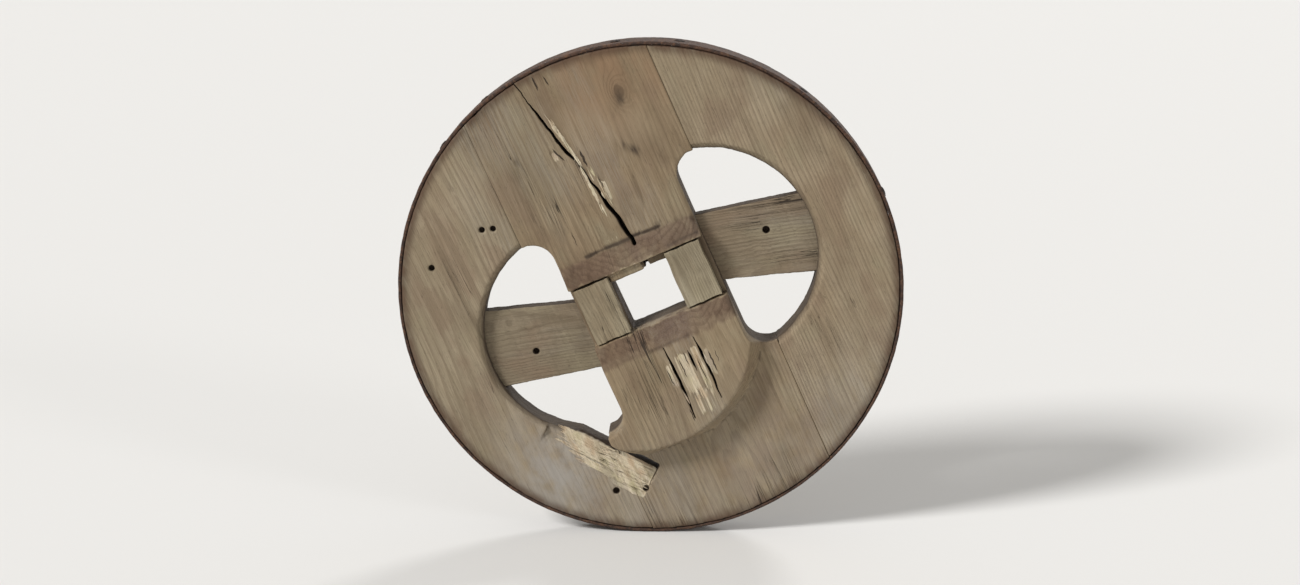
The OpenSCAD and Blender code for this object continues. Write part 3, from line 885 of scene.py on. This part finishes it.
curl = steps.node("ShaderNodeVectorMath", {"operation": "SCALE"}, {0: curl, "Scale": steps.given["Bend"]})
fibre = steps.node("GeometryNodeSetPosition", None, {"Geometry": fibre, "Offset": curl})
fibre = steps.node("GeometryNodeStoreNamedAttribute", {"data_type": "FLOAT", "domain": "POINT"},
                   {"Geometry": fibre, "Name": "torn", "Value": 1.0})
fibres = steps.made(fibre, marked_places("fibre_places", places, turn=turns, size=sizes),
                    Bend=SLIVER_BEND, Material=plank_wood)
fibres.vertices.foreach_set("co", stood_up(rows(fibres.vertices, "co", 3)).ravel())
fit("torn_fibres", fibres, plank_wood)


# The hoop is a flat bar of wrought iron, shrunk on hot around the planks. Rust has pitted it and
# use has worn its corners round.
IRON = (0.034, 0.021, 0.016, 1)
RUST_SCAB = (0.078, 0.041, 0.026, 1)
RUST_BLOOM = (0.128, 0.062, 0.031, 1)
RUST_FLAKE = (0.150, 0.078, 0.042, 1)
FLAKE_GAP = (0.030, 0.020, 0.016, 1)
GRIT = (0.026, 0.018, 0.015, 1)
PIT = (0.018, 0.012, 0.010, 1)


def old_iron(name, shade, pitting):
    """Wrought iron with scabs and flakes of rust, grit and pits. The shade darkens all of it."""
    finish = Finish(name)
    finish.grain_view(0.0)
    scab = finish.speckle(55.0, 55.0, 5.0, 0.0)
    flake = finish.speckle(150.0, 150.0, 5.0, 9.0)
    grit = finish.speckle(420.0, 420.0, 3.0, 3.0)
    bloom = finish.speckle(13.0, 13.0, 4.0, 6.0)
    pits = finish.node("ShaderNodeTexVoronoi", None, {"Vector": finish.place, "Scale": 210.0})
    pits = pits.rise(0.30, 0.12) * scab.rise(0.50, 0.62)
    colour = finish.layered(
        IRON,
        (scab.rise(0.38, 0.62), RUST_SCAB),
        (bloom.rise(0.52, 0.72) * 0.6, RUST_BLOOM),
        (flake.rise(0.54, 0.62) * 0.45, RUST_FLAKE),
        (flake.rise(0.46, 0.38) * 0.55, FLAKE_GAP),
        (grit.rise(0.60, 0.75) * 0.5, GRIT),
        (pits * 0.7, PIT))
    colour = finish.stain(1.0, colour, shade, "MULTIPLY")
    gloss = 0.80 - bloom * 0.14 + grit * 0.1
    height = scab * 0.8 + flake.rise(0.42, 0.60) * 0.45 + grit * 0.30 + bloom * 0.4 - pits * 0.8
    return finish.close(colour, gloss, height, depth=pitting, shine=0.3)


# The hoop's sizes, how deep the rust has eaten, and the points round the hoop and round its bar.
TYRE_RADIUS, TYRE_WIDTH = round(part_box("iron_tyre")[1].x, 4), HOOP_FRONT - HOOP_BACK
TYRE_THICKNESS, TYRE_CORNER, TYRE_PITTING = 0.008, 0.0016, 0.0010
HOOP_POINTS, BAR_POINTS = 720, 56
tyre_iron = old_iron("tyre_iron", shade=(1.0, 1.0, 1.0, 1), pitting=0.0011)
steps = Steps("hoop", "Radius", "Thickness", "Width", "Pitting")
middle = steps.given["Radius"] - steps.given["Thickness"] * 0.5
bend = steps.node("GeometryNodeCurvePrimitiveCircle", None, {"Resolution": HOOP_POINTS, "Radius": middle})
bar = steps.node("GeometryNodeCurvePrimitiveQuadrilateral", None,
                 {"Width": steps.given["Thickness"], "Height": steps.given["Width"]})
bar = steps.node("GeometryNodeFilletCurve", None, {0: bar, "Radius": TYRE_CORNER})
bar = steps.node("GeometryNodeResampleCurve", None, {"Curve": bar, "Count": BAR_POINTS})
hoop = steps.node("GeometryNodeCurveToMesh", None, {"Curve": bend, "Profile Curve": bar})
rough = steps.node("ShaderNodeTexNoise", None, {"Scale": 38.0, "Detail": 4.0}).rise(0.35, 0.70)
waves = steps.node("ShaderNodeTexNoise", None, {"Scale": 7.0, "Detail": 1.0}).rise(0.30, 0.70)
hoop = steps.pushed(hoop, (rough * 0.7 + waves * 0.5) * steps.given["Pitting"] * -1.0)
hoop = steps.node("GeometryNodeTransform", None,
                  {0: hoop, "Translation": (0, -FACE / 2, 0), "Rotation": (math.pi / 2, 0, 0)})
hoop = steps.made(hoop, bpy.data.meshes.new("hoop_start"), Radius=TYRE_RADIUS, Thickness=TYRE_THICKNESS,
                  Width=TYRE_WIDTH, Pitting=TYRE_PITTING, Material=tyre_iron)
fit("iron_tyre_worn", hoop, tyre_iron, "iron_tyre")

# Hand-made nails hold the hoop on the planks, with square shanks and hammered, worn heads. Two sit
# beside each seam and five more along each felloe.
NAIL_EDGE, FELLOE_NAILS = 0.062, 5
NAIL_HEAD, NAIL_HEIGHT, NAIL_SHANK, NAIL_LENGTH = 0.0225, 0.0028, 0.008, 0.045
NAIL_BLOWS = 0.0008
plank_turn = math.degrees(math.asin((SEAM - NAIL_EDGE) / RIM_RADIUS))
felloe_turn = math.degrees(math.asin((SEAM + NAIL_EDGE) / RIM_RADIUS))
felloe_step = (180 - 2 * felloe_turn) / (FELLOE_NAILS - 1)
nail_turns = [end + turn for end in (90, 270) for turn in
              (-plank_turn, plank_turn, *[felloe_turn + i * felloe_step for i in range(FELLOE_NAILS)])]
nail_iron = old_iron("nail_iron", shade=(0.42, 0.46, 0.50, 1), pitting=0.0007)
steps = Steps("nails", "Head", "Height", "Shank", "Length")
dome = steps.node("GeometryNodeMeshUVSphere", None, {"Segments": 28, "Rings": 18, "Radius": 1.0})
size = steps.node("ShaderNodeCombineXYZ", None,
                  {0: steps.given["Head"] * 0.5, 1: steps.given["Head"] * 0.5, 2: steps.given["Height"]})
dome = steps.node("GeometryNodeTransform", None, {0: dome, "Scale": size})
size = steps.node("ShaderNodeCombineXYZ", None,
                  {0: steps.given["Shank"], 1: steps.given["Shank"], 2: steps.given["Length"]})
stem = steps.node("GeometryNodeMeshCube", None, {"Size": size})
stem = steps.node("GeometryNodeTransform", None, {
    0: stem, "Translation": steps.node("ShaderNodeCombineXYZ", None, {2: steps.given["Length"] * -0.5})})
nails = steps.placed(steps.joined(dome, stem), Rotation="turn")
blows = steps.node("ShaderNodeTexNoise", None, {"Scale": 150.0, "Detail": 1.0}).rise(0.30, 0.70)
nails = steps.pushed(nails, blows * -NAIL_BLOWS)
outwards = [Vector((math.cos(turn), 0, math.sin(turn)))
            for turn in [math.radians(turn) + PLANK_LEAN for turn in nail_turns]]
places = marked_places("nail_places", [way * TYRE_RADIUS + Vector((0, -FACE / 2, 0)) for way in outwards],
                       turn=[way.to_track_quat("Z", "Y").to_euler() for way in outwards])
nails = steps.made(nails, places, Head=NAIL_HEAD, Height=NAIL_HEIGHT, Shank=NAIL_SHANK,
                   Length=NAIL_LENGTH, Material=nail_iron)
fit("tyre_nails_worn", nails, nail_iron, "tyre_nails")

# The studio is a plain pale floor under soft light from the upper left, seen from a little above as
# in the photograph.
PALE, FLOOR_RADIUS = (0.72, 0.71, 0.69, 1), 60
bpy.ops.mesh.primitive_circle_add(vertices=96, radius=FLOOR_RADIUS, fill_type="NGON",
                                  location=(0, 0, cad_low.z))
floor = bpy.context.object
floor.name = "floor"
floor.data.materials.append(Finish("floor_paint").close(PALE, roughness=0.95, height=0.0, depth=0.001))
floor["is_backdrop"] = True

world = bpy.data.worlds.new("studio")
bpy.context.scene.world = world
world.use_nodes = True
studio = Wiring(world.node_tree)
seen = studio.node("ShaderNodeLightPath", output="Is Camera Ray")
seen = seen.math("MAXIMUM", studio.node("ShaderNodeLightPath", output="Is Glossy Ray"))
seen = seen.math("MAXIMUM", studio.node("ShaderNodeLightPath", output="Is Transmission Ray"))
light = studio.node("ShaderNodeBackground", None, {"Color": (1, 0.985, 0.96, 1), "Strength": 0.36})
backdrop = studio.node("ShaderNodeBackground", None, {"Color": (0.86, 0.85, 0.83, 1), "Strength": 1.0})
blend = studio.node("ShaderNodeMixShader", None, {0: seen, 1: light, 2: backdrop})
studio.node("ShaderNodeOutputWorld", None, {"Surface": blend})

# The lights: a name, which way it lies and its power. All are soft suns of one width.
LIGHTS = (("key", (-0.66, -0.44, 0.60), 3.0), ("fill", (0.75, -0.55, 0.35), 0.35),
          ("back", (0.35, 0.80, 0.50), 1.1))
LIGHT_WIDTH = math.radians(14)
for name, place, power in LIGHTS:
    lamp = bpy.data.objects.new(name, bpy.data.lights.new(name, "SUN"))
    lamp.data.energy = power
    lamp.data.angle = LIGHT_WIDTH
    lamp.rotation_euler = (-Vector(place)).to_track_quat("-Z", "Y").to_euler()
    bpy.context.scene.collection.objects.link(lamp)

VIEW_AZIMUTH, VIEW_ELEVATION = math.radians(2), math.radians(14.5)
VIEW_DISTANCE, VIEW_LENS = 4.6, 58.5
camera = bpy.data.cameras.new("camera")
camera.lens = VIEW_LENS
viewer = bpy.data.objects.new("camera", camera)
bpy.context.scene.collection.objects.link(viewer)
bpy.context.scene.camera = viewer
back = Vector((math.sin(VIEW_AZIMUTH) * math.cos(VIEW_ELEVATION),
               -math.cos(VIEW_AZIMUTH) * math.cos(VIEW_ELEVATION), math.sin(VIEW_ELEVATION)))
viewer.location = (cad_low + cad_high) / 2 + back * VIEW_DISTANCE
viewer.rotation_euler = (-back).to_track_quat("-Z", "Y").to_euler()
bpy.context.scene.view_settings.view_transform = "Standard"

low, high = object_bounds()
